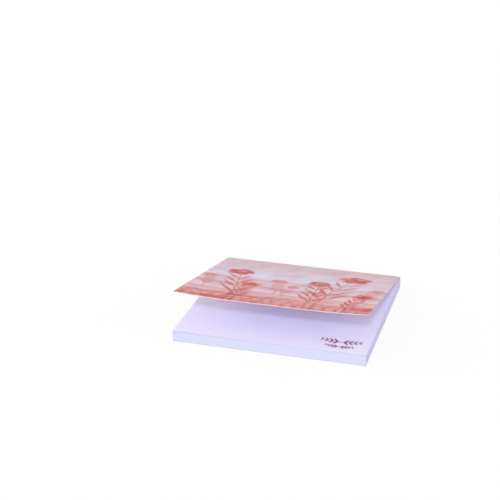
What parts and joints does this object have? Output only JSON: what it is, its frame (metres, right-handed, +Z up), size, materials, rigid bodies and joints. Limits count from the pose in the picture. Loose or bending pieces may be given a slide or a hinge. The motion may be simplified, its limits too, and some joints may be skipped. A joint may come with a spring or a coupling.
{
  "type": "sticky note pad",
  "caption": "Square block of sticky notes in a wrap-round soft card cover, whose printed front panel stands half open.",
  "frame": {"origin": "middle of the underside, on the surface that the pad lies on", "axes": "+X across the pad to the right, +Y from the open front edge towards the spine, +Z up through the block"},
  "size_m": [0.075, 0.075, 0.0202],
  "materials": {
    "note_paper": "uncoated white paper with a cool, faintly lilac tint",
    "cover_card": "smooth coated card, pale rose outside and plain white inside",
    "printed_card": "smooth coated card with a coral print outside, plain white inside"
  },
  "bodies": {
    "pad": {"note_block": "note_paper", "back_cover": "cover_card"},
    "spine": {"spine": "cover_card"},
    "front_cover": {"front_cover": "printed_card"}
  },
  "joints": [
    {"name": "spine_fold", "type": "hinge", "parent": "pad", "child": "spine", "pos_m": [0, 0.03735, 0.00015], "axis": [-1, 0, 0], "range_deg": [0, 90]},
    {"name": "cover_fold", "type": "hinge", "parent": "spine", "child": "front_cover", "pos_m": [0, 0.03735, 0.00465], "axis": [-1, 0, 0], "range_deg": [-11.2, 78.1]}
  ]
}
